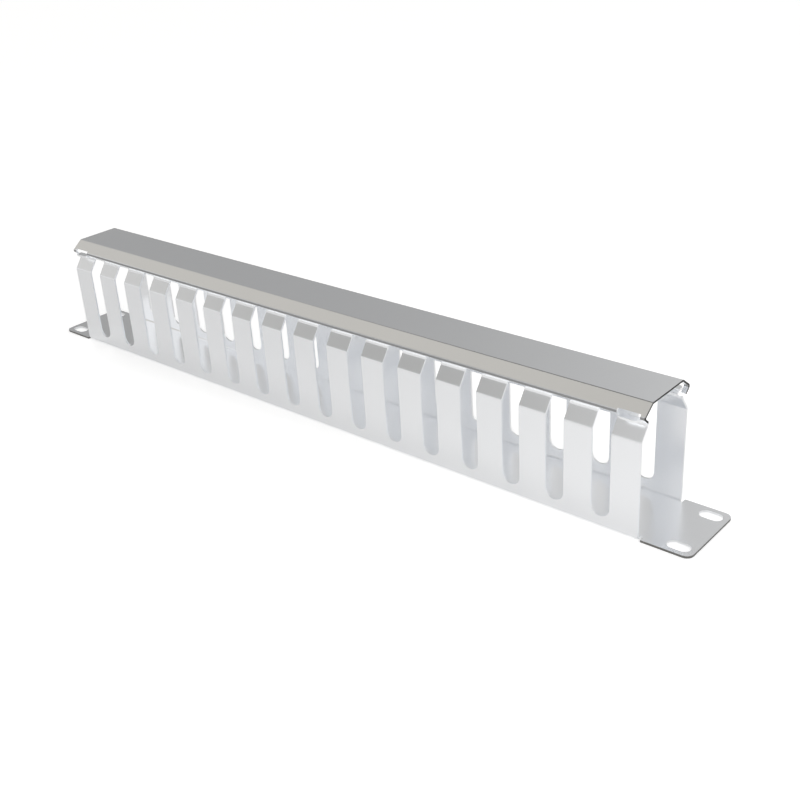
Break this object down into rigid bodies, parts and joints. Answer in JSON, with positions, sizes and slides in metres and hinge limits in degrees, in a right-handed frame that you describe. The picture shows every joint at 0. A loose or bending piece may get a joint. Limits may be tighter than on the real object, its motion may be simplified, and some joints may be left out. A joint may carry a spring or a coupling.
{
  "type": "rack cable management panel",
  "caption": "Rack-mount cable duct panel of folded zinc-plated sheet steel, with slotted comb walls between rack ears and a folded lift-off cover.",
  "frame": {"origin": "middle of the back plate's rear face, the face that bears on the rack's rails", "axes": "+X along the rack's width, +Y across the unit's height, +Z out of the rack, from the back plate to the cover"},
  "size_m": [0.4826, 0.044, 0.0699],
  "materials": {
    "panel_zinc": "bright zinc-plated steel sheet, smooth, satin, with bare cut edges",
    "cover_zinc": "bright zinc-plated steel sheet, smooth, satin, with bare cut edges"
  },
  "bodies": {
    "panel": {"comb_panel": "panel_zinc"},
    "cover": {"cover": "cover_zinc"}
  },
  "joints": [
    {"name": "cover_lift", "type": "slide", "parent": "panel", "child": "cover", "axis": [0, 0, 1], "range_m": [0, 0.06]}
  ]
}
